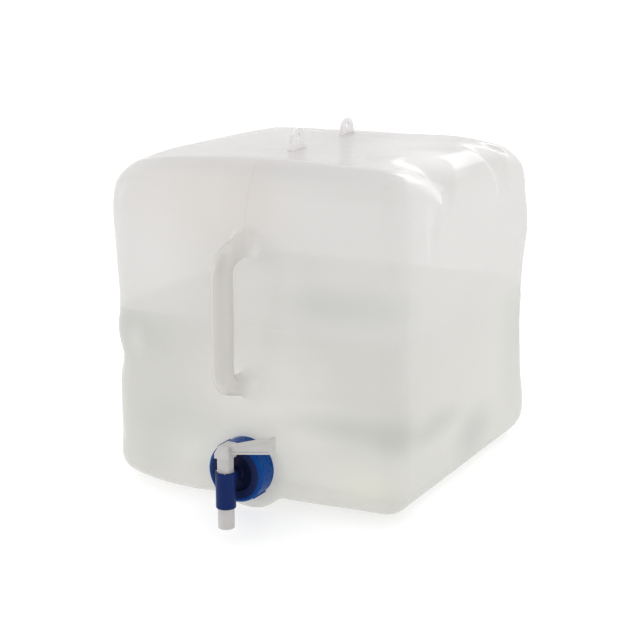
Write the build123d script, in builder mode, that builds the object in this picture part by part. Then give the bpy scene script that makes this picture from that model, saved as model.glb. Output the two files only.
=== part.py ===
from build123d import *
import os

# Collapsible cube-shaped water container with a carrying handle, two hanging eyelets
# and a screw-on tap with a quarter-turn lever.
#
# Frame, in millimetres: the origin is the middle of the underside, +Z is up, and the
# handle and the tap are on the -Y side. X = 0 is the plane where the two halves of the
# blow mould met, so the handle, the neck, the tap and both eyelets are centred on it.
# "Reach" is a distance towards -Y, measured from the origin.

# Tank: one soft blow-moulded body
tank_width = 286.0
tank_depth = 286.0
tank_top = 289.0  # height of the domed top in the middle
crown = 7.5  # how much lower the top is at the middle of each side
corner_radius = 30.0  # upright corners
top_edge_radius = 25.0
bottom_edge_radius = 22.0
wall = 1.0
face_reach = tank_depth / 2  # the front face
overcut = 1.0  # how far a cutting shape runs past what it cuts

# Round shoulder around the neck, moulded with the tank
neck_height = 28.5
shoulder_radius = 37.0
shoulder_root_radius = 27.0
shoulder_reach = 145.4
shoulder_lip = 5.0  # cylindrical length behind the shoulder's front face
shoulder_root_reach = 112.0
shoulder_edge_radius = 2.0

# Neck with an outside thread
neck_outer_radius = 20.6
neck_bore_radius = 17.6
neck_rim_reach = 158.7
thread_pitch = 4.0
thread_height = 1.6  # radial height of the neck's ridge
thread_base = 2.0  # width of a ridge at its root
thread_crest = 1.1  # width of a ridge at its crest
thread_turns = 2.0
thread_sink = 0.3  # how far a ridge's root is buried in its wall
neck_thread_reach = 148.3  # where the neck's ridge starts

# Carrying handle: a hollow tube on the front face
handle_radius = 9.2
handle_wall = 1.2
handle_reach = 182.0  # centre line of the grip
grip_low = 108.0
grip_high = 213.5
root_low = 100.0
root_high = 221.0
handle_bend = 14.0
handle_foot_radius = 13.0
handle_foot_length = 6.0
handle_run_in = 4.0  # how far its centre line starts behind the front face

# Hanging eyelets on the top
eyelet_front_y = -54.5
eyelet_rear_y = 38.5
eyelet_hole_height = 299.0
eyelet_hole_radius = 3.1
eyelet_head_height = 294.0  # height of the round head's centre, below the hole
eyelet_head_radius = 12.0
eyelet_base_length = 30.0
eyelet_thickness = 2.2

# Screw collar
collar_radius = 26.2
collar_bore_radius = 22.8
collar_opening_radius = 16.4
collar_rear_reach = 145.9
collar_front_reach = 166.2
collar_front_wall = 2.7
collar_edge_radius = 3.0
collar_rib_count = 4
collar_rib_width = 2.6
collar_rib_height = 0.9
collar_rib_phase = -50.0  # angle of the first rib, seen from the front
collar_rib_front_reach = 163.4
collar_thread_height = 1.5

# Sealing ring between the neck's rim and the tap
gasket_thickness = 2.0
gasket_inner_radius = 17.8

# Tap body: flange, sealing sleeve, inlet tube and upright barrel
flange_radius = 20.6
flange_thickness = 2.7
sleeve_outer_radius = 17.2
sleeve_inner_radius = 15.6
sleeve_length = 6.0  # behind the flange
inlet_radius = 5.6
inlet_bore_radius = 4.0
inlet_fillet = 2.0
barrel_reach = 180.5
barrel_radius = 8.5
barrel_bottom = 3.0
barrel_top = 34.8
barrel_edge_radius = 0.6
stop_recess_depth = 2.2
stop_recess_from = 100.0  # degrees about the barrel, counter-clockwise from +X
stop_recess_to = 210.0
rim_notch_width = 1.2
rim_notch_depth = 1.0
rim_notch_angle = -64.0

# Tap plug: the turning valve, with the spout below and a square stem above
plug_radius = 7.2
running_clearance = 0.05
plug_bore_radius = 5.2
plug_bore_top = 32.6
spout_radius = 7.0
spout_tip = -15.0
spout_top = 2.5  # just below the barrel
spout_edge_radius = 0.5
stem_side = 11.0
stem_corner_radius = 2.0
stem_top = 56.5
snap_ring_radius = 7.55
snap_ring_length = 1.6
snap_ring_height = 9.0
snap_clearance = 0.1
stop_lug_reach = 8.2
stop_lug_angle = 200.0
stop_lug_width = 2.0
stop_lug_clearance = 0.2  # above the floor of the recess

# Lever, pushed onto the square stem
hub_side = 14.0
hub_corner_radius = 1.2
hub_bottom = 47.0
hub_top = 58.6
hub_flank_low = 50.5  # where the sloping flank starts
hub_flank_width = 5.2  # how far it has come in at the top
socket_clearance = 0.05
blade_thickness = 9.0
blade_tip_x = 45.6
blade_tip_low = 57.7
blade_tip_high = 70.8
blade_root_low = 51.6
blade_centre_low = 50.6  # underside on the barrel's axis
blade_dish = 0.8  # depth of the shallow dish in each flank
blade_rim = 1.5  # width of the raised rim around the dish
blade_edge_radius = 0.5

# Planes and axes shared by the turned pieces
neck_axis = Axis((0, 0, neck_height), (0, -1, 0))
turning_plane = Plane(origin=(0, 0, neck_height), x_dir=(1, 0, 0), z_dir=(0, 0, -1))
flange_rear_reach = neck_rim_reach + gasket_thickness
flange_front_reach = flange_rear_reach + flange_thickness


def front_plane(reach):
    """Plane across the neck's axis, facing forwards, at the given reach."""
    return Plane(origin=(0, -reach, neck_height), x_dir=(1, 0, 0), z_dir=(0, -1, 0))


def barrel_plane(height):
    """Level plane with its origin on the barrel's axis."""
    return Plane(origin=(0, -barrel_reach, height))


def tank_block(inset):
    """Solid cube with rounded edges and a domed top, pulled in by inset on every side."""
    dome_radius = (face_reach**2 + crown**2) / (2 * crown)
    with BuildPart() as block:
        with BuildSketch(Plane.XY.offset(inset)):
            RectangleRounded(tank_width - 2 * inset, tank_depth - 2 * inset, corner_radius - inset)
        extrude(amount=tank_top)
        # the sphere's poles are turned to the sides, away from the top
        with Locations((0, 0, tank_top - dome_radius)):
            Sphere(dome_radius - inset, rotation=(0, 90, 0), mode=Mode.INTERSECT)
        fillet(block.faces().sort_by(Axis.Z)[-1].edges(), top_edge_radius - inset)
        fillet(block.faces().sort_by(Axis.Z)[0].edges(), bottom_edge_radius - inset)
    return block.part


def shoulder_block(inset):
    """Solid round shoulder that carries the neck, pulled in by inset."""
    lip_reach = shoulder_reach - shoulder_lip
    with BuildPart() as block:
        with BuildSketch(turning_plane):
            with BuildLine():
                Polyline(
                    (0, shoulder_root_reach),
                    (shoulder_root_radius - inset, shoulder_root_reach),
                    (shoulder_radius - inset, lip_reach),
                    (shoulder_radius - inset, shoulder_reach - inset),
                    (0, shoulder_reach - inset),
                    close=True,
                )
            make_face()
        revolve(axis=neck_axis)
        fillet(block.edges().sort_by(Axis.Y)[0], shoulder_edge_radius)
    return block.part


def thread_ridge(root_radius, crest_radius, start_reach):
    """Right-handed helical ridge about the neck's axis; its crest may point in or out."""
    outward = 1 if crest_radius > root_radius else -1
    sunk_root = root_radius - outward * thread_sink
    with BuildPart() as ridge:
        with BuildLine() as path:
            Helix(
                pitch=thread_pitch,
                height=thread_pitch * thread_turns,
                radius=root_radius,
                center=(0, -start_reach, neck_height),
                direction=(0, -1, 0),
            )
        start = path.line @ 0
        radial = (start - Vector(0, -start_reach, neck_height)).normalized()
        with BuildSketch(Plane(origin=start, x_dir=radial, z_dir=path.line % 0)):
            with BuildLine():
                Polyline(
                    (sunk_root - root_radius, -thread_base / 2),
                    (crest_radius - root_radius, -thread_crest / 2),
                    (crest_radius - root_radius, thread_crest / 2),
                    (sunk_root - root_radius, thread_base / 2),
                    close=True,
                )
            make_face()
        sweep(path=path.line, is_frenet=True)
    return ridge.part


def handle_tube(radius):
    """Solid rod along the handle's centre line, from inside the front face and back."""
    inside_reach = face_reach - handle_run_in
    slope_low = (grip_low - root_low) / (handle_reach - face_reach)
    slope_high = (grip_high - root_high) / (handle_reach - face_reach)
    with BuildPart() as rod:
        with BuildLine(Plane.YZ) as path:
            FilletPolyline(
                (-inside_reach, root_high - slope_high * handle_run_in),
                (-handle_reach, grip_high),
                (-handle_reach, grip_low),
                (-inside_reach, root_low - slope_low * handle_run_in),
                radius=handle_bend,
            )
        with BuildSketch(Plane(origin=path.line @ 0, z_dir=path.line % 0)):
            Circle(radius)
        sweep(path=path.line)
    return rod.part


outer_block = tank_block(0)
handle_bore = handle_tube(handle_radius - handle_wall)

# ---------------------------------------------------------------- tank shell
with BuildPart() as tank_shell:
    add(outer_block)
    add(shoulder_block(0))
    add(tank_block(wall), mode=Mode.SUBTRACT)
    add(shoulder_block(wall), mode=Mode.SUBTRACT)
    with BuildSketch(front_plane(shoulder_reach)):
        Circle(neck_bore_radius)
    extrude(amount=-(wall + overcut), mode=Mode.SUBTRACT)
    add(handle_bore, mode=Mode.SUBTRACT)
tank_shell.part.label = "tank_shell"

# ---------------------------------------------------------------- neck
with BuildPart() as neck:
    with BuildSketch(front_plane(shoulder_reach)):
        Circle(neck_outer_radius)
        Circle(neck_bore_radius, mode=Mode.SUBTRACT)
    extrude(amount=neck_rim_reach - shoulder_reach)
    add(thread_ridge(neck_outer_radius, neck_outer_radius + thread_height, neck_thread_reach))
neck.part.label = "neck"

# ---------------------------------------------------------------- carrying handle
with BuildPart() as carry_handle:
    add(handle_tube(handle_radius))
    split(bisect_by=Plane.XZ.offset(face_reach), keep=Keep.TOP)
    for root_height in (root_low, root_high):
        foot_plane = Plane(origin=(0, -face_reach, root_height), x_dir=(1, 0, 0), z_dir=(0, -1, 0))
        with Locations(foot_plane):
            Cone(
                handle_foot_radius,
                handle_radius,
                handle_foot_length,
                align=(Align.CENTER, Align.CENTER, Align.MIN),
            )
    add(handle_bore, mode=Mode.SUBTRACT)
carry_handle.part.label = "carry_handle"


# ---------------------------------------------------------------- hanging eyelets
def eyelet(centre_y):
    """Upright plate in the mould's parting plane, with a round hole across it."""
    base_height = tank_top - crown
    half_base = eyelet_base_length / 2
    with BuildPart() as plate:
        with BuildSketch(Plane.YZ):
            with Locations((centre_y, eyelet_head_height)):
                Circle(eyelet_head_radius)
            with BuildLine():
                Polyline(
                    (centre_y - half_base, base_height),
                    (centre_y + half_base, base_height),
                    (centre_y + half_base, tank_top),
                    (centre_y + eyelet_head_radius, eyelet_head_height),
                    (centre_y - eyelet_head_radius, eyelet_head_height),
                    (centre_y - half_base, tank_top),
                    close=True,
                )
            make_face()
            with Locations((centre_y, eyelet_hole_height)):
                Circle(eyelet_hole_radius, mode=Mode.SUBTRACT)
        extrude(amount=eyelet_thickness / 2, both=True)
        add(outer_block, mode=Mode.SUBTRACT)
    return plate


front_eyelet = eyelet(eyelet_front_y)
front_eyelet.part.label = "front_eyelet"
rear_eyelet = eyelet(eyelet_rear_y)
rear_eyelet.part.label = "rear_eyelet"

# ---------------------------------------------------------------- screw collar
with BuildPart() as screw_collar:
    collar_cavity_reach = collar_front_reach - collar_front_wall
    with BuildSketch(turning_plane):
        with BuildLine():
            Polyline(
                (collar_bore_radius, collar_rear_reach),
                (collar_radius, collar_rear_reach),
                (collar_radius, collar_front_reach),
                (collar_opening_radius, collar_front_reach),
                (collar_opening_radius, collar_cavity_reach),
                (collar_bore_radius, collar_cavity_reach),
                close=True,
            )
        make_face()
    revolve(axis=neck_axis)
    front_edges = screw_collar.edges().group_by(Axis.Y)[0]
    fillet(front_edges.sort_by(SortBy.LENGTH)[-1], collar_edge_radius)
    with BuildSketch(front_plane(collar_rear_reach)):
        with PolarLocations(collar_radius, collar_rib_count, start_angle=collar_rib_phase):
            Rectangle(2 * collar_rib_height, collar_rib_width)
    extrude(amount=collar_rib_front_reach - collar_rear_reach)
    add(
        thread_ridge(
            collar_bore_radius,
            collar_bore_radius - collar_thread_height,
            neck_thread_reach + thread_pitch / 2,
        )
    )
screw_collar.part.label = "screw_collar"

# ---------------------------------------------------------------- neck gasket
with BuildPart() as neck_gasket:
    with BuildSketch(front_plane(neck_rim_reach)):
        Circle(neck_outer_radius)
        Circle(gasket_inner_radius, mode=Mode.SUBTRACT)
    extrude(amount=gasket_thickness)
neck_gasket.part.label = "neck_gasket"

# ---------------------------------------------------------------- tap body
with BuildPart() as tap_body:
    # flange behind the collar's front wall, and the sleeve that enters the neck
    with BuildSketch(front_plane(flange_rear_reach)):
        Circle(flange_radius)
    extrude(amount=flange_thickness)
    with BuildSketch(front_plane(flange_rear_reach)):
        Circle(sleeve_outer_radius)
        Circle(sleeve_inner_radius, mode=Mode.SUBTRACT)
    extrude(amount=-sleeve_length)
    # inlet tube
    with BuildSketch(front_plane(flange_front_reach)):
        Circle(inlet_radius)
    extrude(amount=barrel_reach - flange_front_reach)
    tube_edges = tap_body.edges().filter_by(GeomType.CIRCLE).group_by(SortBy.RADIUS)[0]
    fillet(tube_edges.sort_by(Axis.Y)[-1], inlet_fillet)
    # barrel
    with BuildSketch(barrel_plane(barrel_bottom)):
        Circle(barrel_radius)
    extrude(amount=barrel_top - barrel_bottom)
    fillet(tap_body.faces().sort_by(Axis.Z)[0].edges(), barrel_edge_radius)
    # bores of the barrel and the inlet, and the groove for the plug's snap ring
    with BuildSketch(barrel_plane(barrel_bottom)):
        Circle(plug_radius + running_clearance)
    extrude(amount=barrel_top - barrel_bottom, mode=Mode.SUBTRACT)
    with BuildSketch(front_plane(flange_rear_reach)):
        Circle(inlet_bore_radius)
    extrude(amount=barrel_reach - flange_rear_reach, mode=Mode.SUBTRACT)
    with BuildSketch(barrel_plane(snap_ring_height - snap_clearance)):
        Circle(snap_ring_radius + snap_clearance)
    extrude(amount=snap_ring_length + 2 * snap_clearance, mode=Mode.SUBTRACT)
    # recess in the rim for the plug's stop lug, and the small notch at its front
    recess_radius = barrel_radius + overcut
    with BuildSketch(barrel_plane(barrel_top - stop_recess_depth)):
        with BuildLine():
            PolarLine((0, 0), recess_radius, stop_recess_from)
            CenterArc((0, 0), recess_radius, stop_recess_from, stop_recess_to - stop_recess_from)
            PolarLine((0, 0), recess_radius, stop_recess_to)
        make_face()
    extrude(amount=stop_recess_depth, mode=Mode.SUBTRACT)
    with BuildSketch(barrel_plane(barrel_top - rim_notch_depth)):
        with PolarLocations(barrel_radius, 1, start_angle=rim_notch_angle):
            Rectangle(2 * (barrel_radius - plug_radius), rim_notch_width)
    extrude(amount=rim_notch_depth, mode=Mode.SUBTRACT)
tap_body.part.label = "tap_body"

# ---------------------------------------------------------------- tap plug with spout
with BuildPart() as tap_plug:
    with BuildSketch(barrel_plane(spout_tip)):
        Circle(spout_radius)
    extrude(amount=spout_top - spout_tip)
    with BuildSketch(barrel_plane(spout_top)):
        Circle(plug_radius)
    extrude(amount=barrel_top - spout_top)
    with BuildSketch(barrel_plane(snap_ring_height)):
        Circle(snap_ring_radius)
    extrude(amount=snap_ring_length)
    with BuildSketch(barrel_plane(barrel_top)):
        RectangleRounded(stem_side, stem_side, stem_corner_radius)
    extrude(amount=stem_top - barrel_top)
    # stop lug that travels in the recess of the barrel's rim
    with BuildSketch(barrel_plane(barrel_top - stop_recess_depth + stop_lug_clearance)):
        with PolarLocations(stop_lug_reach / 2, 1, start_angle=stop_lug_angle):
            Rectangle(stop_lug_reach, stop_lug_width)
    extrude(amount=stop_recess_depth - stop_lug_clearance)
    # water way: down through the spout, and in from the side on the inlet's level
    with BuildSketch(barrel_plane(spout_tip)):
        Circle(plug_bore_radius)
    extrude(amount=plug_bore_top - spout_tip, mode=Mode.SUBTRACT)
    with BuildSketch(Plane(origin=(0, -barrel_reach, neck_height), x_dir=(0, 1, 0), z_dir=(-1, 0, 0))):
        Circle(inlet_bore_radius)
    extrude(amount=barrel_radius, mode=Mode.SUBTRACT)
    fillet(tap_plug.edges().group_by(Axis.Z)[0], spout_edge_radius)
tap_plug.part.label = "tap_plug"

# ---------------------------------------------------------------- lever
lever_plane = Plane.XZ.offset(barrel_reach)
with BuildPart() as tap_lever:
    half_hub = hub_side / 2
    with BuildSketch(barrel_plane(hub_bottom)):
        RectangleRounded(hub_side, hub_side, hub_corner_radius)
    extrude(amount=hub_top - hub_bottom)
    # sloping flank on the side away from the blade
    with BuildSketch(lever_plane):
        with BuildLine():
            Polyline(
                (-half_hub - overcut, hub_top + overcut),
                (-half_hub - overcut, hub_flank_low),
                (-half_hub, hub_flank_low),
                (-half_hub + hub_flank_width, hub_top),
                (-half_hub + hub_flank_width, hub_top + overcut),
                close=True,
            )
        make_face()
    extrude(amount=half_hub, both=True, mode=Mode.SUBTRACT)
    # blade that rises and deepens towards its tip
    with BuildSketch(lever_plane):
        with BuildLine():
            Polyline(
                (0, blade_centre_low),
                (half_hub, blade_root_low),
                (blade_tip_x, blade_tip_low),
                (blade_tip_x, blade_tip_high),
                (half_hub, hub_top),
                (0, hub_top),
                close=True,
            )
        make_face()
    extrude(amount=blade_thickness / 2, both=True)
    fillet(tap_lever.faces().sort_by(Axis.X)[-1].edges(), blade_edge_radius)
    # shallow dish inside a raised rim on both flanks of the blade
    for side in (-1, 1):
        with BuildSketch(lever_plane.offset(side * blade_thickness / 2)):
            with BuildLine():
                Polyline(
                    (half_hub, blade_root_low),
                    (blade_tip_x, blade_tip_low),
                    (blade_tip_x, blade_tip_high),
                    (half_hub, hub_top),
                    close=True,
                )
            make_face()
            offset(amount=-blade_rim, mode=Mode.REPLACE)
        extrude(amount=-side * blade_dish, mode=Mode.SUBTRACT)
    # square socket for the plug's stem
    socket_side = stem_side + 2 * socket_clearance
    with BuildSketch(barrel_plane(hub_bottom)):
        RectangleRounded(socket_side, socket_side, stem_corner_radius)
    extrude(amount=stem_top - hub_bottom, mode=Mode.SUBTRACT)
tap_lever.part.label = "tap_lever"

# ---------------------------------------------------------------- export
os.makedirs("parts", exist_ok=True)
sub_parts = (
    tank_shell,
    neck,
    carry_handle,
    front_eyelet,
    rear_eyelet,
    screw_collar,
    neck_gasket,
    tap_body,
    tap_plug,
    tap_lever,
)
for sub_part in sub_parts:
    export_step(sub_part.part, f"parts/{sub_part.part.label}.step")
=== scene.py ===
import math

import bmesh
import bpy
import numpy as np
from mathutils import Matrix, Vector


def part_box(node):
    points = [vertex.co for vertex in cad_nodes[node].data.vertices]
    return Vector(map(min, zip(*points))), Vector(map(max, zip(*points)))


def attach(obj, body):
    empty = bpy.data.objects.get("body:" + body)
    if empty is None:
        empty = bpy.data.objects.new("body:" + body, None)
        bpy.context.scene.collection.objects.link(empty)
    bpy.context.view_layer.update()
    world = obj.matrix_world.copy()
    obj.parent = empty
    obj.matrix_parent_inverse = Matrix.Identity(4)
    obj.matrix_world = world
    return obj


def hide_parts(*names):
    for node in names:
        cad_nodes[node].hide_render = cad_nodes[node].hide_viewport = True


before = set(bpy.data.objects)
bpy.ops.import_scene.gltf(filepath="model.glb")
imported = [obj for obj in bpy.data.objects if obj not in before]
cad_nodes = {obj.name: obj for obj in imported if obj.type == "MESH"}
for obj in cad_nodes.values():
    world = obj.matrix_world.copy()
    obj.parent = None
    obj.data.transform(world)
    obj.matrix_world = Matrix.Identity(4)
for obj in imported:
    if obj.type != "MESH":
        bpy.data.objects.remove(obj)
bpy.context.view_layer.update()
MM = 0.001

# ------------------------------------------------------------------ places from the frame
shell_low, shell_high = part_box("tank_shell")
handle_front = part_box("carry_handle")[0].y
barrel_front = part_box("tap_body")[0].y
collar_low, collar_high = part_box("screw_collar")
half_width = shell_high.x
half_depth = shell_high.y
tank_top = shell_high.z
neck_centre = (collar_low + collar_high) / 2
shoulder_reach = -shell_low.y
shoulder_radius = neck_centre.z - shell_low.z

# ------------------------------------------------------------------ camera
CAMERA_AZIMUTH = math.radians(28.0)
CAMERA_ELEVATION = math.radians(14.0)
CAMERA_DISTANCE = 1.3737
CAMERA_PAN = (-0.0064, -0.0154)
CAMERA_AIM_HEIGHT = 0.14
CAMERA_LENS = 84.375


def make_camera():
    """Camera in front of the can, turned towards its right side and a little above it."""
    flat = math.cos(CAMERA_ELEVATION)
    back = Vector(
        (
            math.sin(CAMERA_AZIMUTH) * flat,
            -math.cos(CAMERA_AZIMUTH) * flat,
            math.sin(CAMERA_ELEVATION),
        )
    )
    right = Vector((0, 0, 1)).cross(back).normalized()
    up = back.cross(right)
    aim = Vector((0, 0, CAMERA_AIM_HEIGHT)) + right * CAMERA_PAN[0] + up * CAMERA_PAN[1]
    camera = bpy.data.objects.new("camera", bpy.data.cameras.new("camera"))
    camera.data.lens = CAMERA_LENS
    camera.data.sensor_width = 36.0
    camera.data.clip_end = 20.0
    turn = Matrix((right, up, back)).transposed().to_4x4()
    camera.matrix_world = Matrix.Translation(aim + back * CAMERA_DISTANCE) @ turn
    link(camera)
    bpy.context.scene.camera = camera


# ------------------------------------------------------------------ mesh helpers
def link(obj):
    """Puts the object into the scene and hands it back."""
    bpy.context.scene.collection.objects.link(obj)
    return obj


def object_from_bmesh(bm, name):
    """New linked, smooth-shaded object that owns the mesh in bm."""
    bmesh.ops.recalc_face_normals(bm, faces=bm.faces)
    mesh = bpy.data.meshes.new(name)
    bm.to_mesh(mesh)
    bm.free()
    mesh.shade_smooth()
    return link(bpy.data.objects.new(name, mesh))


def get_points(mesh):
    """The mesh's vertices as an array with a row for each."""
    points = np.empty(len(mesh.vertices) * 3)
    mesh.vertices.foreach_get("co", points)
    return points.reshape(-1, 3)


def set_points(mesh, points):
    """Moves the mesh's vertices to the rows of an array."""
    mesh.vertices.foreach_set("co", np.ascontiguousarray(points, dtype=float).ravel())
    mesh.update()


def smoothstep(low, high, value):
    """0 below low, 1 above high, and a smooth rise between them."""
    t = np.clip((value - low) / (high - low), 0, 1)
    return t * t * (3 - 2 * t)


def apply_modifier(obj, kind, **settings):
    """Adds one modifier, applies it to the mesh and leaves none on the object."""
    modifier = obj.modifiers.new(kind.lower(), kind)
    for key, value in settings.items():
        setattr(modifier, key, value)
    depsgraph = bpy.context.evaluated_depsgraph_get()
    mesh = bpy.data.meshes.new_from_object(obj.evaluated_get(depsgraph))
    obj.modifiers.clear()
    old = obj.data
    obj.data = mesh
    mesh.name = obj.name
    bpy.data.meshes.remove(old)


# ------------------------------------------------------------------ tank
GRID_CUTS = 108
VOXEL = 2.6 * MM
CROWN = 7.5 * MM  # how far the top rises towards its middle
TOP_EDGE_RADIUS = 25 * MM
BOTTOM_EDGE_RADIUS = 22 * MM
BAR_RADIUS = 9.2 * MM  # of the handle's grip
SHOULDER_EDGE = 2.2 * MM  # rounding of the shoulder's front edge
WATER_LEVEL = 0.151
WATER_GAP = 1.8 * MM  # between the wall's outside and the water
WATER_EDGE = 1.2 * MM  # half the width of the line where the wall gets wet
WATER_BLEND = 16 * MM  # half the width over which the wall's own tone changes there

# tones of the wall: dry from the water line up, the top in painted shade, wet from the water line
# down with painted light towards the bottom, painted highlights on the crumples, painted shade on
# the thick handle, the parting line, and the faint mottle
DRY_LOW = (0.76, 0.75, 0.74)
DRY_HIGH = (0.765, 0.745, 0.735)
TOP_PAINTED_SHADE = (0.67, 0.65, 0.655)
WET = (0.78, 0.765, 0.748)
WET_LOW_PAINTED_LIGHT = (0.81, 0.80, 0.775)
CREASE_HIGHLIGHT = (0.99, 0.985, 0.99)
HANDLE_PAINTED_SHADE = (0.625, 0.605, 0.575)
SEAM = (0.50, 0.46, 0.42)
CLOUD = (0.70, 0.69, 0.68)
WATER_LOW = (0.80, 0.81, 0.78)
WATER_HIGH = (0.83, 0.84, 0.81)

# parting line: its half width, and how far it wanders off the middle at the front top edge
SEAM_WIDTH = 1.1 * MM
SEAM_DRIFT = 6 * MM

# the handle's legs, in mm: distance in front of the tank's face, height and radius
UPPER_LEG = (
    (-6, 221.0, 14.0),
    (-1, 220.6, 12.4),
    (5, 219.8, 10.4),
    (14, 218.3, 9.4),
    (26, 215.8, 9.2),
)
LOWER_LEG = (
    (26, 105.8, 9.2),
    (14, 103.0, 9.4),
    (5, 101.2, 10.4),
    (-1, 100.4, 12.4),
    (-6, 100.0, 14.0),
)
# the grip between them, in mm: distance behind its own centre line, height and radius
GRIP = (
    (5, 212.5, 9.2),
    (1, 207.0, 9.2),
    (0, 199.0, 9.2),
    (0, 180.0, 9.3),
    (0, 160.0, 9.4),
    (0, 140.0, 9.3),
    (0, 122.0, 9.2),
    (1, 114.0, 9.2),
    (5, 108.6, 9.2),
)


def ringed_form(name, rings):
    """Closed solid through rings that each hold the same number of points."""
    bm = bmesh.new()
    rings = [[bm.verts.new(point) for point in ring] for ring in rings]
    for first, second in zip(rings, rings[1:]):
        for k in range(len(first)):
            after = (k + 1) % len(first)
            bm.faces.new((first[k], first[after], second[after], second[k]))
    bm.faces.new(rings[0])
    bm.faces.new(reversed(rings[-1]))
    return object_from_bmesh(bm, name)


def rounded_cube(name):
    """Dense cube grid pushed onto a rounded box with a domed top."""
    bm = bmesh.new()
    bmesh.ops.create_cube(bm, size=2)
    bmesh.ops.subdivide_edges(bm, edges=bm.edges, cuts=GRID_CUTS, use_grid_fill=True)
    obj = object_from_bmesh(bm, name)
    unit = get_points(obj.data)
    half_height = (tank_top - CROWN) / 2
    half = np.array((half_width, half_depth, half_height))
    points = unit * half
    radius = np.where(unit[:, 2] > 0, TOP_EDGE_RADIUS, BOTTOM_EDGE_RADIUS)[:, None]
    core = np.clip(points, -(half - radius), half - radius)
    out = points - core
    out /= np.maximum(np.linalg.norm(out, axis=1), 1e-9)[:, None]
    points = core + out * radius
    points[:, 2] += half_height
    across = np.clip(1 - (points[:, 0] / half_width) ** 2, 0, 1)
    along = np.clip(1 - (points[:, 1] / half_depth) ** 2, 0, 1)
    crown = CROWN * np.sqrt(across * along)
    points[:, 2] += crown * smoothstep(0.6 * tank_top, 0.95 * tank_top, points[:, 2])
    set_points(obj.data, points)
    return obj


def handle_form():
    """Solid outer form of the hollow handle, with flared roots sunk into the front face."""
    face = -half_depth
    grip_line = handle_front + BAR_RADIUS
    route = [(face - out * MM, height * MM, radius * MM) for out, height, radius in UPPER_LEG]
    route += [(grip_line + back * MM, height * MM, radius * MM) for back, height, radius in GRIP]
    route += [(face - out * MM, height * MM, radius * MM) for out, height, radius in LOWER_LEG]
    sides = 40
    turn = [2 * math.pi * k / sides for k in range(sides)]
    across = Vector((1, 0, 0))
    rings = []
    for index, (y, z, radius) in enumerate(route):
        before = route[max(index - 1, 0)]
        after = route[min(index + 1, len(route) - 1)]
        tangent = Vector((0, after[0] - before[0], after[1] - before[1])).normalized()
        other = tangent.cross(across)
        centre = Vector((0, y, z))
        rings.append([centre + (across * math.cos(a) + other * math.sin(a)) * radius for a in turn])
    return ringed_form("handle_form", rings)


def turned_form(name, profile, sides=96):
    """Closed solid turned about the neck's axis from (radius, reach) points."""
    turn = [2 * math.pi * k / sides for k in range(sides)]
    rings = [
        [(radius * math.cos(a), -reach, neck_centre.z + radius * math.sin(a)) for a in turn]
        for radius, reach in profile
    ]
    return ringed_form(name, rings)


def shoulder_form():
    """Round shoulder behind the collar; its foot runs back under the tank's lower edge."""
    # a little larger than the CAD solid, because the smoothing shrinks it
    outer = shoulder_radius + 1.6 * MM
    front = shoulder_reach
    profile = [
        (outer * 0.70, front - 38 * MM),
        (outer * 0.90, front - 16 * MM),
        (outer, front - 6 * MM),
        (outer, front - SHOULDER_EDGE),
        (outer - 0.7 * MM, front - 0.7 * MM),
        (outer - SHOULDER_EDGE, front),
        (outer * 0.4, front),
    ]
    return turned_form("shoulder_form", profile)


def join(target, *others):
    """Adds the other objects' meshes to the target's mesh and removes the other objects."""
    bm = bmesh.new()
    bm.from_mesh(target.data)
    for other in others:
        bm.from_mesh(other.data)
        mesh = other.data
        bpy.data.objects.remove(other)
        bpy.data.meshes.remove(mesh)
    bm.to_mesh(target.data)
    bm.free()


def swell(points, centre, size, height):
    """Smooth rise (or dent, with a negative height) of Gaussian shape around a place."""
    scaled = (points - np.array(centre)) / np.array(size)
    return height * np.exp(-np.sum(scaled**2, axis=1))


def fold(depth_place, height_place, tip, crease, border, depth, peak, end, back):
    """Depth of one sharp crumple in the right top edge, as seen square to that edge.

    It fans out from its tip between the border and the crease direction, is deepest along
    the crease at the distance peak, fades out at the distance end, and comes back to the
    surface over the width back on the crease's far side.
    """
    u = depth_place - tip[0]
    v = height_place - tip[1]
    radius = np.hypot(u, v)
    angle = np.degrees(np.arctan2(v, u))
    along = np.clip(radius / peak, 0, 1) * (1 - smoothstep(peak, end, radius))
    fan = np.clip((border - angle) / (border - crease), 0, 1) * (angle >= crease)
    beyond = radius * np.sin(np.radians(np.clip(crease - angle, 0, 90)))
    far_side = np.clip(1 - beyond / back, 0, 1) * (angle < crease) * (angle > crease - 90)
    return depth * along * (fan + far_side)


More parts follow.
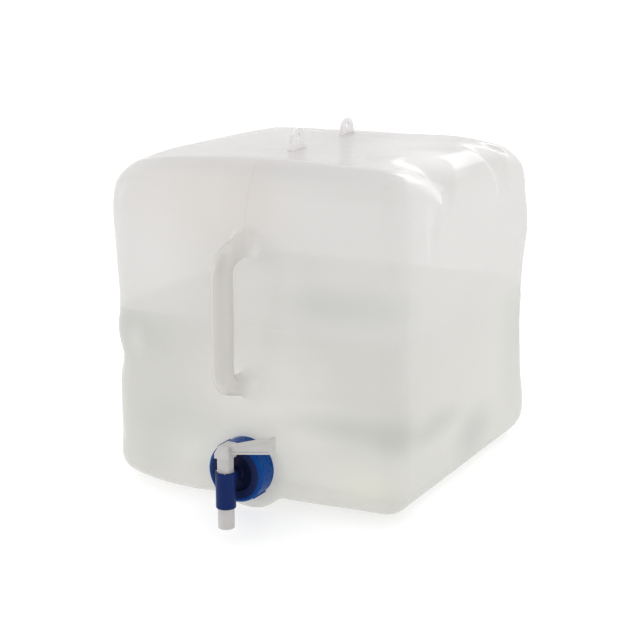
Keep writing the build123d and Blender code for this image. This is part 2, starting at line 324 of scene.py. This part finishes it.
# swellings of the soft walls: centre and size as shares of the half width, half depth and
# height, then the rise along the wall's normal
SWELLINGS = (
    ((-1.0, -1.0, 0.24), (0.32, 0.32, 0.20), -2.2 * MM),
    ((-1.0, -1.0, 0.365), (0.32, 0.32, 0.045), -3.8 * MM),
    ((-1.0, -1.0, 0.56), (0.32, 0.32, 0.08), -1.4 * MM),
    ((-1.0, -1.0, 0.83), (0.32, 0.32, 0.09), 2.0 * MM),
    ((-1.0, -1.0, 1.0), (0.34, 0.34, 0.10), -7.5 * MM),
    ((-1.0, 0.0, 1.0), (0.25, 0.9, 0.10), -3.2 * MM),
    ((-0.62, -1.0, 0.0), (0.38, 0.14, 0.10), 9.5 * MM),
    ((0.15, -1.0, 0.0), (0.55, 0.14, 0.09), 4.5 * MM),
    ((1.0, 1.0, 0.11), (0.32, 0.32, 0.07), 3.6 * MM),
    ((1.0, 1.0, 0.71), (0.32, 0.32, 0.09), 3.8 * MM),
    ((1.0, 1.0, 0.40), (0.34, 0.34, 0.14), -2.6 * MM),
    ((1.0, 1.0, 0.98), (0.32, 0.32, 0.08), -9.0 * MM),
    ((0.5, 1.0, 1.0), (0.35, 0.3, 0.10), 2.0 * MM),
    ((0.95, -1.0, 0.62), (0.22, 0.22, 0.30), -7.0 * MM),
    ((0.15, -1.0, 0.22), (0.75, 0.3, 0.16), 2.0 * MM),
    ((0.1, -1.0, 0.58), (0.6, 0.3, 0.10), -1.8 * MM),
    ((-0.6, -1.0, 0.45), (0.28, 0.3, 0.2), -2.0 * MM),
    ((1.0, 0.1, 0.35), (0.3, 0.6, 0.22), 2.2 * MM),
    ((1.0, -0.2, 0.66), (0.3, 0.5, 0.12), -2.6 * MM),
    ((-1.0, 0.1, 0.3), (0.3, 0.6, 0.22), 2.2 * MM),
    ((-1.0, 0.2, 0.66), (0.3, 0.5, 0.14), -2.4 * MM),
    ((0.1, 1.0, 0.3), (0.6, 0.3, 0.22), 2.2 * MM),
    ((-0.2, 1.0, 0.66), (0.5, 0.3, 0.14), -2.4 * MM),
    ((0.35, -0.25, 1.0), (0.35, 0.5, 0.2), -2.2 * MM),
    ((0.0, 0.35, 1.0), (0.5, 0.3, 0.2), 3.6 * MM),
    ((-0.05, 1.0, 1.0), (0.6, 0.3, 0.12), -4.0 * MM),
    ((0.15, -1.0, 1.0), (0.7, 0.22, 0.10), 7.0 * MM),
    ((-0.95, -1.0, 0.07), (0.2, 0.2, 0.08), -2.5 * MM),
    ((-0.3, -1.0, 0.0), (0.25, 0.14, 0.10), 4.0 * MM),
)

# crumples of the right top edge, in mm: tip, crease and border directions, depth, distance
# of the deepest place, distance of the end and width of the steep far side
FOLDS = (
    ((-70, 78), 57, 147, 14.0, 32, 74, 20),
    ((55, 70), 88, 118, 9.0, 28, 70, 26),
    ((86, 97), 60, 130, 7.0, 16, 40, 10),
    ((-94, 48), 62, 100, 3.5, 18, 46, 12),
)


def soften(skin_points, normals):
    """Where the points of the new, smooth tank lie once it has been filled and handled."""
    shares = skin_points / np.array((half_width, half_depth, tank_top))
    push = np.zeros(len(skin_points))
    for centre, size, height in SWELLINGS:
        push += swell(shares, centre, size, height)
    points = skin_points + normals * push[:, None]
    # the right top edge is seen square to itself: u runs back, v runs from the side to the top
    u = skin_points[:, 1] / MM
    v = (skin_points[:, 2] - skin_points[:, 0]) / MM / math.sqrt(2)
    inward = np.zeros(len(points))
    for values in FOLDS:
        inward += fold(u, v, *values)
    right_side = smoothstep(0.25, 0.5, shares[:, 0]) * smoothstep(0.45, 0.6, shares[:, 2])
    inward *= right_side * MM / math.sqrt(2)
    points[:, 0] -= inward
    points[:, 2] -= inward
    return points


def vertex_normals(mesh):
    """The outward directions at the mesh's vertices, a row for each."""
    normals = np.empty(len(mesh.vertices) * 3)
    mesh.vertex_normals.foreach_get("vector", normals)
    return normals.reshape(-1, 3)


def tank_skin():
    """The one moulded skin: cube, handle and neck shoulder, merged into one surface."""
    skin = rounded_cube("tank_skin")
    set_points(skin.data, soften(get_points(skin.data), vertex_normals(skin.data)))
    join(skin, handle_form(), shoulder_form())
    apply_modifier(skin, "REMESH", mode="VOXEL", voxel_size=VOXEL)
    apply_modifier(skin, "SMOOTH", factor=0.5, iterations=3)
    skin.data.shade_smooth()
    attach(skin, "tank")
    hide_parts("tank_shell", "carry_handle")
    return skin


# ------------------------------------------------------------------ materials
class Nodes:
    """Short hand for building one node tree."""

    def __init__(self, tree):
        self.tree = tree

    def new(self, kind, **properties):
        node = self.tree.nodes.new(kind)
        for key, value in properties.items():
            setattr(node, key, value)
        return node

    def plug(self, value, socket):
        """Puts a number, a colour or another node's output on an input socket."""
        if isinstance(value, bpy.types.NodeSocket):
            self.tree.links.new(value, socket)
        elif isinstance(value, (tuple, list)) and len(value) == 3 and socket.type == "RGBA":
            socket.default_value = (*value, 1)
        else:
            socket.default_value = value

    def math(self, operation, first, second=0.0):
        """One sum on numbers or on other nodes' outputs."""
        node = self.new("ShaderNodeMath", operation=operation)
        for value, socket in zip((first, second), node.inputs):
            self.plug(value, socket)
        return node.outputs[0]

    def ramp(self, value, low, high, out_low=0.0, out_high=1.0):
        """Smooth step of value from low..high to out_low..out_high."""
        node = self.new("ShaderNodeMapRange", interpolation_type="SMOOTHSTEP")
        for number, socket in zip((value, low, high, out_low, out_high), node.inputs):
            self.plug(number, socket)
        return node.outputs[0]

    def mix(self, factor, first, second):
        """Colour mix: the first colour at factor 0, the second at factor 1."""
        node = self.new("ShaderNodeMix", data_type="RGBA")
        self.plug(factor, node.inputs[0])
        self.plug(first, node.inputs[6])
        self.plug(second, node.inputs[7])
        return node.outputs[2]

    def noise(self, coordinates, scale, detail=3.0):
        """Soft random pattern, mostly between 0.3 and 0.7; scale is in blobs per metre."""
        node = self.new("ShaderNodeTexNoise")
        self.plug(coordinates, node.inputs["Vector"])
        node.inputs["Scale"].default_value = scale
        node.inputs["Detail"].default_value = detail
        return node.outputs[0]

    def split(self, place):
        """The three coordinates: across (X), along (Y) and height (Z)."""
        node = self.new("ShaderNodeSeparateXYZ")
        self.plug(place, node.inputs[0])
        return node.outputs

    def blend(self, share, first, second):
        """One shader made of two; share is how much of the second shows."""
        node = self.new("ShaderNodeMixShader")
        self.plug(share, node.inputs[0])
        self.plug(first.outputs[0], node.inputs[1])
        self.plug(second.outputs[0], node.inputs[2])
        return node

    def translucent(self, colour):
        """Shader that lets light soak through in the given colour."""
        node = self.new("ShaderNodeBsdfTranslucent")
        self.plug(colour, node.inputs["Color"])
        return node

    def transparent(self, colour):
        """Shader that lets what is behind be seen, tinted by the given colour."""
        node = self.new("ShaderNodeBsdfTransparent")
        self.plug(colour, node.inputs["Color"])
        return node

    def bump(self, height, strength, distance, normal=None):
        """Fine relief; distance is its height in metres, on top of another relief if given."""
        node = self.new("ShaderNodeBump")
        node.inputs["Strength"].default_value = strength
        node.inputs["Distance"].default_value = distance
        self.plug(height, node.inputs["Height"])
        if normal is not None:
            self.plug(normal, node.inputs["Normal"])
        return node.outputs[0]

    def blob(self, place, centre, size):
        """1 at the centre of an ellipsoid, falling smoothly to 0 at its surface."""
        shift = self.new("ShaderNodeVectorMath", operation="SUBTRACT")
        self.plug(place, shift.inputs[0])
        shift.inputs[1].default_value = centre
        scale = self.new("ShaderNodeVectorMath", operation="DIVIDE")
        self.plug(shift.outputs[0], scale.inputs[0])
        scale.inputs[1].default_value = size
        length = self.new("ShaderNodeVectorMath", operation="LENGTH")
        self.plug(scale.outputs[0], length.inputs[0])
        return self.ramp(length.outputs["Value"], 0.0, 1.0, 1.0, 0.0)

    def fan(self, along, across, height, tip, crease, border, end):
        """1 inside the fan of a crumple of the right top edge, softly 0 outside it."""
        rise = self.math("MULTIPLY", self.math("SUBTRACT", height, across), math.sqrt(0.5))
        u = self.math("SUBTRACT", along, tip[0] * MM)
        v = self.math("SUBTRACT", rise, tip[1] * MM)
        angle = self.math("ARCTAN2", v, u)
        squares = self.math("ADD", self.math("POWER", u, 2.0), self.math("POWER", v, 2.0))
        distance = self.math("SQRT", squares)
        start = self.ramp(angle, math.radians(crease - 4), math.radians(crease + 8))
        stop = self.ramp(angle, math.radians(border - 5), math.radians(border + 22), 1.0, 0.0)
        fade = self.ramp(distance, 0.5 * end * MM, 0.95 * end * MM, 1.0, 0.0)
        on_right = self.ramp(across, 0.03, 0.06)
        inside = self.math("MULTIPLY", start, stop)
        return self.math("MULTIPLY", inside, self.math("MULTIPLY", fade, on_right))


def new_material(name):
    """Empty node material with its output node and its object-space coordinates."""
    material = bpy.data.materials.new(name)
    material.use_nodes = True
    material.node_tree.nodes.clear()
    nodes = Nodes(material.node_tree)
    surface = nodes.new("ShaderNodeOutputMaterial").inputs["Surface"]
    place = nodes.new("ShaderNodeTexCoord").outputs["Object"]
    return material, nodes, surface, place


# share of the wall's light that passes through it: on the tank, and on the thick handle
TANK_HAZE = 0.53
HANDLE_HAZE = 0.12
CLEAR_SHARE = 0.42  # how much of that light passes straight, not scattered
CREASE_HIGHLIGHT_STRENGTH = 0.85  # strength of the painted highlight on a crumple that is at least CREASE_HIGHLIGHT_DEPTH deep, in mm
CREASE_HIGHLIGHT_DEPTH = 12
# painted shade: navy for the collar's front and inside, near black for the tap's parts deep inside
# the collar
COLLAR_PAINTED_SHADE = (0.012, 0.018, 0.070)
TAP_PAINTED_SHADE = (0.006, 0.009, 0.034)

# painted light and shade on the tank's wall, and a warmer tone on its upper front: centre and size
# of each patch in metres, colour and strength
LIGHT_SHADE_AND_TONE_PATCHES = (
    # a warmer, browner tone on the upper front, by the parting line
    ((-0.035, -0.143, 0.245), (0.095, 0.060, 0.060), (0.80, 0.70, 0.62), 0.30),
    ((0.004, -0.143, 0.262), (0.040, 0.050, 0.042), (0.62, 0.55, 0.50), 0.30),
    # painted shade: the dark band of the water's far edge seen through the front wall and darker
    # places on the left, with a small painted highlight on the left water line
    ((0.080, -0.143, 0.176), (0.108, 0.070, 0.024), (0.52, 0.54, 0.52), 0.40),
    ((-0.113, -0.143, 0.134), (0.075, 0.060, 0.060), (0.54, 0.56, 0.54), 0.36),
    ((-0.114, -0.143, 0.124), (0.014, 0.040, 0.024), (0.95, 0.95, 0.93), 0.30),
    ((-0.085, -0.143, 0.055), (0.065, 0.050, 0.055), (0.60, 0.62, 0.59), 0.32),
    # painted light: lifts the front by the collar and the handle's roots, on the upper left and
    # along the bottom, where they are shaded
    ((0.022, -0.143, 0.085), (0.090, 0.060, 0.090), (0.99, 0.97, 0.94), 0.95),
    ((-0.090, -0.143, 0.200), (0.070, 0.050, 0.080), (0.97, 0.95, 0.94), 0.30),
    ((0.018, -0.143, 0.175), (0.050, 0.050, 0.075), (0.99, 0.97, 0.94), 0.36),
    ((0.055, -0.143, 0.025), (0.060, 0.050, 0.045), (0.99, 0.97, 0.94), 0.55),
    ((-0.055, -0.143, 0.022), (0.050, 0.050, 0.050), (0.99, 0.97, 0.94), 0.60),
    # painted shade: the lower dark band and darker wedges of the tank's inside seen through the
    # front and right walls
    ((0.100, -0.143, 0.075), (0.085, 0.060, 0.019), (0.50, 0.51, 0.47), 0.42),
    ((0.138, -0.138, 0.072), (0.035, 0.035, 0.026), (0.50, 0.51, 0.47), 0.45),
    ((0.138, -0.138, 0.020), (0.024, 0.024, 0.030), (0.60, 0.60, 0.56), 0.15),
    ((0.143, -0.085, 0.066), (0.050, 0.080, 0.020), (0.50, 0.51, 0.47), 0.45),
    ((0.143, 0.005, 0.034), (0.050, 0.060, 0.036), (0.52, 0.54, 0.52), 0.55),
    ((0.143, 0.115, 0.105), (0.050, 0.070, 0.085), (0.58, 0.60, 0.56), 0.40),
    # painted light: a pale cream glow low on the front right
    ((0.110, -0.143, 0.030), (0.055, 0.050, 0.034), (1.0, 0.98, 0.86), 0.60),
    # painted highlight: a bright sheen on the top by the right top edge
    ((0.117, -0.030, 0.284), (0.052, 0.055, 0.021), (1.0, 0.99, 1.0), 1.0),
    ((0.125, 0.065, 0.282), (0.030, 0.055, 0.014), (1.0, 0.99, 1.0), 0.8),
    ((0.070, 0.020, 0.283), (0.050, 0.075, 0.022), (1.0, 0.99, 1.0), 0.5),
)


def seam_share(nodes, across, along, height):
    """1 on the parting line, a fine ridge where the halves of the mould met, else 0."""
    drift = nodes.math("MULTIPLY", nodes.ramp(height, 0.24, 0.28), nodes.ramp(along, -0.07, -0.12))
    drift = nodes.math("MULTIPLY", drift, SEAM_DRIFT)
    from_seam = nodes.math("ABSOLUTE", nodes.math("SUBTRACT", across, drift))
    line = nodes.ramp(from_seam, 0.2 * MM, SEAM_WIDTH, 1.0, 0.0)
    # it shows on the upper front and on the back
    upper_front = nodes.math(
        "MULTIPLY", nodes.ramp(height, 0.205, 0.245), nodes.ramp(along, -0.03, -0.07)
    )
    behind = nodes.ramp(along, 0.07, 0.13, 0.0, 0.7)
    return nodes.math("MULTIPLY", line, nodes.math("MAXIMUM", upper_front, behind))


def handle_share(nodes, along, height):
    """1 on the handle, fading to 0 along its legs."""
    in_front = nodes.ramp(along, -half_depth - 0.030, -half_depth - 0.008, 1.0, 0.0)
    above_neck = nodes.ramp(height, 0.07, 0.08)
    return nodes.math("MULTIPLY", in_front, above_neck)


def tank_plastic():
    """Hazy polyethylene: mostly white scatter, some light let through, a wet lower half."""
    material, nodes, surface, place = new_material("tank_plastic")
    across, along, height = nodes.split(place)
    cloud = nodes.noise(place, 9.0, 4.0)
    fine = nodes.noise(place, 55.0)
    wet = nodes.ramp(height, WATER_LEVEL - WATER_EDGE, WATER_LEVEL + WATER_EDGE, 1.0, 0.0)
    sunk = nodes.ramp(height, WATER_LEVEL - WATER_BLEND, WATER_LEVEL + WATER_BLEND, 1.0, 0.0)
    dry_colour = nodes.mix(nodes.ramp(height, WATER_LEVEL, tank_top), DRY_LOW, DRY_HIGH)
    # wet tone from the water, painted lighter towards the bottom as painted light where the floor
    # shades the wall
    wet_colour = nodes.mix(nodes.ramp(height, 0.0, WATER_LEVEL), WET_LOW_PAINTED_LIGHT, WET)
    colour = nodes.mix(sunk, dry_colour, wet_colour)
    # painted shade: the top is painted darker, as the lamps above light it most
    colour = nodes.mix(nodes.ramp(height, 0.270, 0.286), colour, TOP_PAINTED_SHADE)
    # each patch paints light, shade or a warmer tone onto the wall
    for centre, size, patch_colour, strength in LIGHT_SHADE_AND_TONE_PATCHES:
        patch = nodes.math("MULTIPLY", nodes.blob(place, centre, size), strength)
        if centre[2] < WATER_LEVEL:
            patch = nodes.math("MULTIPLY", patch, wet)
        colour = nodes.mix(patch, colour, patch_colour)
    # painted highlight: the crumples' fans are painted near white where they catch the light
    for tip, crease, border, depth, _, end, _ in FOLDS:
        fan = nodes.fan(along, across, height, tip, crease, border, end)
        strength = CREASE_HIGHLIGHT_STRENGTH * min(1.0, (depth / CREASE_HIGHLIGHT_DEPTH) ** 2)
        colour = nodes.mix(nodes.math("MULTIPLY", fan, strength), colour, CREASE_HIGHLIGHT)
    colour = nodes.mix(nodes.ramp(cloud, 0.3, 0.7, 0.0, 0.16), colour, CLOUD)
    # painted shade: the handle is painted darker, as its thick wall has no light behind it
    handle_part = handle_share(nodes, along, height)
    colour = nodes.mix(handle_part, colour, HANDLE_PAINTED_SHADE)
    seam = seam_share(nodes, across, along, height)
    colour = nodes.mix(nodes.math("MULTIPLY", seam, 0.14), colour, SEAM)
    shell = nodes.new("ShaderNodeBsdfPrincipled")
    nodes.plug(colour, shell.inputs["Base Color"])
    nodes.plug(nodes.ramp(fine, 0.3, 0.7, 0.12, 0.19), shell.inputs["Roughness"])
    relief = nodes.bump(nodes.noise(place, 24.0, 2.0), 0.10, 0.002)
    relief = nodes.bump(seam, 0.2, 0.0004, relief)
    nodes.plug(relief, shell.inputs["Normal"])
    clear = nodes.transparent((0.93, 0.935, 0.93))
    through = nodes.blend(CLEAR_SHARE, nodes.translucent(colour), clear)
    haze = nodes.blend(nodes.ramp(handle_part, 0.0, 1.0, TANK_HAZE, HANDLE_HAZE), shell, through)
    nodes.plug(haze.outputs[0], surface)
    return material


def thick_plastic():
    """The same polyethylene where it is thick: milky white, hardly any light let through."""
    material, nodes, surface, place = new_material("thick_plastic")
    shell = nodes.new("ShaderNodeBsdfPrincipled")
    cloud = nodes.ramp(nodes.noise(place, 120.0), 0.35, 0.65)
    colour = nodes.mix(cloud, (0.95, 0.935, 0.94), (0.90, 0.885, 0.89))
    nodes.plug(colour, shell.inputs["Base Color"])
    gloss = nodes.ramp(nodes.noise(place, 400.0), 0.3, 0.7, 0.22, 0.34)
    nodes.plug(gloss, shell.inputs["Roughness"])
    nodes.plug(nodes.bump(nodes.noise(place, 500.0), 0.15, 0.0003), shell.inputs["Normal"])
    haze = nodes.blend(0.3, shell, nodes.translucent(colour))
    nodes.plug(haze.outputs[0], surface)
    return material


def water_material():
    """Slightly green, soft body of water seen through the hazy skin."""
    material, nodes, surface, place = new_material("water")
    depth = nodes.ramp(nodes.split(place)["Z"], 0.0, WATER_LEVEL)
    colour = nodes.mix(depth, WATER_LOW, WATER_HIGH)
    colour = nodes.mix(nodes.ramp(nodes.noise(place, 14.0), 0.3, 0.7, 0.0, 0.3), colour, WATER_LOW)
    body = nodes.new("ShaderNodeBsdfPrincipled")
    nodes.plug(colour, body.inputs["Base Color"])
    nodes.plug(nodes.ramp(nodes.noise(place, 30.0), 0.3, 0.7, 0.08, 0.2), body.inputs["Roughness"])
    through = nodes.blend(0.75, nodes.translucent(colour), nodes.transparent((0.95, 0.955, 0.945)))
    haze = nodes.blend(0.85, body, through)
    nodes.plug(haze.outputs[0], surface)
    return material


def moulded_plastic(name, colour, shade, roughness, gleam, recolour=None):
    """Solid moulded plastic with a faint mottle, a fine grain and uneven gloss.

    recolour, if given, changes the mottled colour from place to place.
    """
    material, nodes, surface, place = new_material(name)
    shell = nodes.new("ShaderNodeBsdfPrincipled")
    mottle = nodes.ramp(nodes.noise(place, 60.0, 4.0), 0.35, 0.65)
    mottled = nodes.mix(mottle, colour, shade)
    if recolour:
        mottled = recolour(nodes, place, mottled)
    nodes.plug(mottled, shell.inputs["Base Color"])
    shell.inputs["Specular IOR Level"].default_value = gleam
    gloss = nodes.ramp(nodes.noise(place, 240.0), 0.3, 0.7, roughness - 0.05, roughness + 0.06)
    nodes.plug(gloss, shell.inputs["Roughness"])
    nodes.plug(nodes.bump(nodes.noise(place, 900.0), 0.12, 0.0002), shell.inputs["Normal"])
    nodes.plug(shell.outputs[0], surface)
    return material


def shaded_collar(nodes, place, bright):
    """Bright on the collar's round side wall; painted shade, navy, on its front and inside."""
    across, _, height = nodes.split(place)
    rise = nodes.math("SUBTRACT", height, neck_centre.z)
    square = nodes.math("ADD", nodes.math("POWER", across, 2.0), nodes.math("POWER", rise, 2.0))
    side = nodes.ramp(nodes.math("SQRT", square), 21.8 * MM, 23.8 * MM)
    return nodes.mix(side, COLLAR_PAINTED_SHADE, bright)


def shaded_tap(nodes, place, even):
    """Even on the barrel; painted shade, almost black, on the parts deep inside the collar."""
    deep = nodes.ramp(nodes.split(place)["Y"], barrel_front + 16 * MM, barrel_front + 20 * MM)
    return nodes.mix(deep, even, TAP_PAINTED_SHADE)


def dress(obj, material):
    """Gives the object this one material."""
    obj.data.materials.clear()
    obj.data.materials.append(material)


# ------------------------------------------------------------------ water
def water_body():
    """What the tank holds: its own inside, filled to a level surface."""
    water = rounded_cube("water")
    normals = vertex_normals(water.data)
    set_points(water.data, soften(get_points(water.data), normals) - normals * WATER_GAP)
    bm = bmesh.new()
    bm.from_mesh(water.data)
    level = Vector((0, 0, WATER_LEVEL))
    everything = bm.verts[:] + bm.edges[:] + bm.faces[:]
    bmesh.ops.bisect_plane(bm, geom=everything, plane_co=level, plane_no=(0, 0, 1), clear_outer=True)
    rim = [edge for edge in bm.edges if edge.is_boundary]
    surface = bmesh.ops.contextual_create(bm, geom=rim)["faces"]
    for face in surface:
        face.smooth = False
    bm.to_mesh(water.data)
    bm.free()
    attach(water, "tank")
    return water


# ------------------------------------------------------------------ stage
FLOOR_REACH = 60.0
FLOOR_EDGE = -0.63 * half_depth  # the floor is level behind this line
FLOOR_RUN = 0.2  # length of the slope in front of it
FLOOR_FALL = 0.07
FLOOR_STEPS = 24
LIGHT_AIM = (0, 0, 0.14)
# name, place, width, height and power of the area lights
LIGHTS = (
    ("key", (1.5, -0.9, 0.8), 1.2, 1.2, 3.2),
    ("fill", (-1.5, -0.9, 0.5), 0.8, 0.8, 3.4),
    ("top", (0.2, 0.3, 2.2), 1.6, 1.6, 5),
    ("back", (0.0, 2.35, 1.4), 1.5, 0.62, 8),
)
DIM_SIDE = (0.42, -0.88, 0.22)  # direction of the studio's dim side, behind the camera


def stage_floor():
    """Pale floor: level under the can, and gently down in front, so that the tap hangs free."""
    bm = bmesh.new()
    rows = [(FLOOR_REACH, 0.0)]
    for k in range(FLOOR_STEPS + 1):
        share = k / FLOOR_STEPS
        fall = FLOOR_FALL / 2 * (1 - math.cos(math.pi * share))
        rows.append((FLOOR_EDGE - FLOOR_RUN * share, -fall))
    rows.append((-FLOOR_REACH, -FLOOR_FALL))
    corners = [[bm.verts.new((x, y, z)) for x in (-FLOOR_REACH, FLOOR_REACH)] for y, z in rows]
    for first, second in zip(corners, corners[1:]):
        bm.faces.new((first[0], first[1], second[1], second[0]))
    floor = object_from_bmesh(bm, "floor")
    white = bpy.data.materials.new("stage_white")
    white.use_nodes = True
    paper = white.node_tree.nodes["Principled BSDF"].inputs
    paper["Base Color"].default_value = (0.6, 0.6, 0.6, 1)
    paper["Roughness"].default_value = 0.9
    paper["Specular IOR Level"].default_value = 0.1
    paper["Emission Color"].default_value = (1, 1, 1, 1)
    paper["Emission Strength"].default_value = 0.5
    dress(floor, white)


def stage_world():
    """The studio is bright all round but for a dim patch behind the camera."""
    world = bpy.data.worlds.new("studio")
    world.use_nodes = True
    nodes = Nodes(world.node_tree)
    facing = nodes.new("ShaderNodeVectorMath", operation="DOT_PRODUCT")
    nodes.plug(nodes.new("ShaderNodeTexCoord").outputs["Generated"], facing.inputs[0])
    facing.inputs[1].default_value = DIM_SIDE
    background = world.node_tree.nodes["Background"]
    strength = nodes.ramp(facing.outputs["Value"], 0.3, 0.9, 1.22, 0.46)
    nodes.plug(strength, background.inputs["Strength"])
    background.inputs["Color"].default_value = (1, 1, 1, 1)
    bpy.context.scene.world = world


def stage_lights():
    """Large soft lights that all point at the can."""
    for name, place, width, height, power in LIGHTS:
        lamp = bpy.data.lights.new(name, "AREA")
        lamp.shape = "RECTANGLE"
        lamp.size = width
        lamp.size_y = height
        lamp.energy = power
        obj = link(bpy.data.objects.new(name, lamp))
        obj.location = place
        aim = Vector(LIGHT_AIM) - Vector(place)
        obj.rotation_euler = aim.to_track_quat("-Z", "Y").to_euler()


# ------------------------------------------------------------------ the whole scene
make_camera()
stage_floor()
stage_world()
stage_lights()
bpy.context.scene.view_settings.view_transform = "Standard"

dress(tank_skin(), tank_plastic())
dress(water_body(), water_material())
thick = thick_plastic()
blue = moulded_plastic(
    "collar_blue", (0.001, 0.050, 0.232), (0.001, 0.047, 0.222), 0.3, 0.08, shaded_collar
)
tap_blue = moulded_plastic(
    "tap_blue", (0.005, 0.021, 0.110), (0.005, 0.018, 0.096), 0.33, 0.09, shaded_tap
)
valve_white = moulded_plastic("valve_white", (0.53, 0.52, 0.505), (0.50, 0.49, 0.48), 0.42, 0.22)
rubber = moulded_plastic("gasket_black", (0.02, 0.02, 0.02), (0.014, 0.014, 0.014), 0.7, 0.22)
for name, material in (
    ("neck", thick),
    ("front_eyelet", thick),
    ("rear_eyelet", thick),
    ("screw_collar", blue),
    ("tap_body", tap_blue),
    ("tap_plug", valve_white),
    ("tap_lever", valve_white),
    ("neck_gasket", rubber),
):
    dress(cad_nodes[name], material)
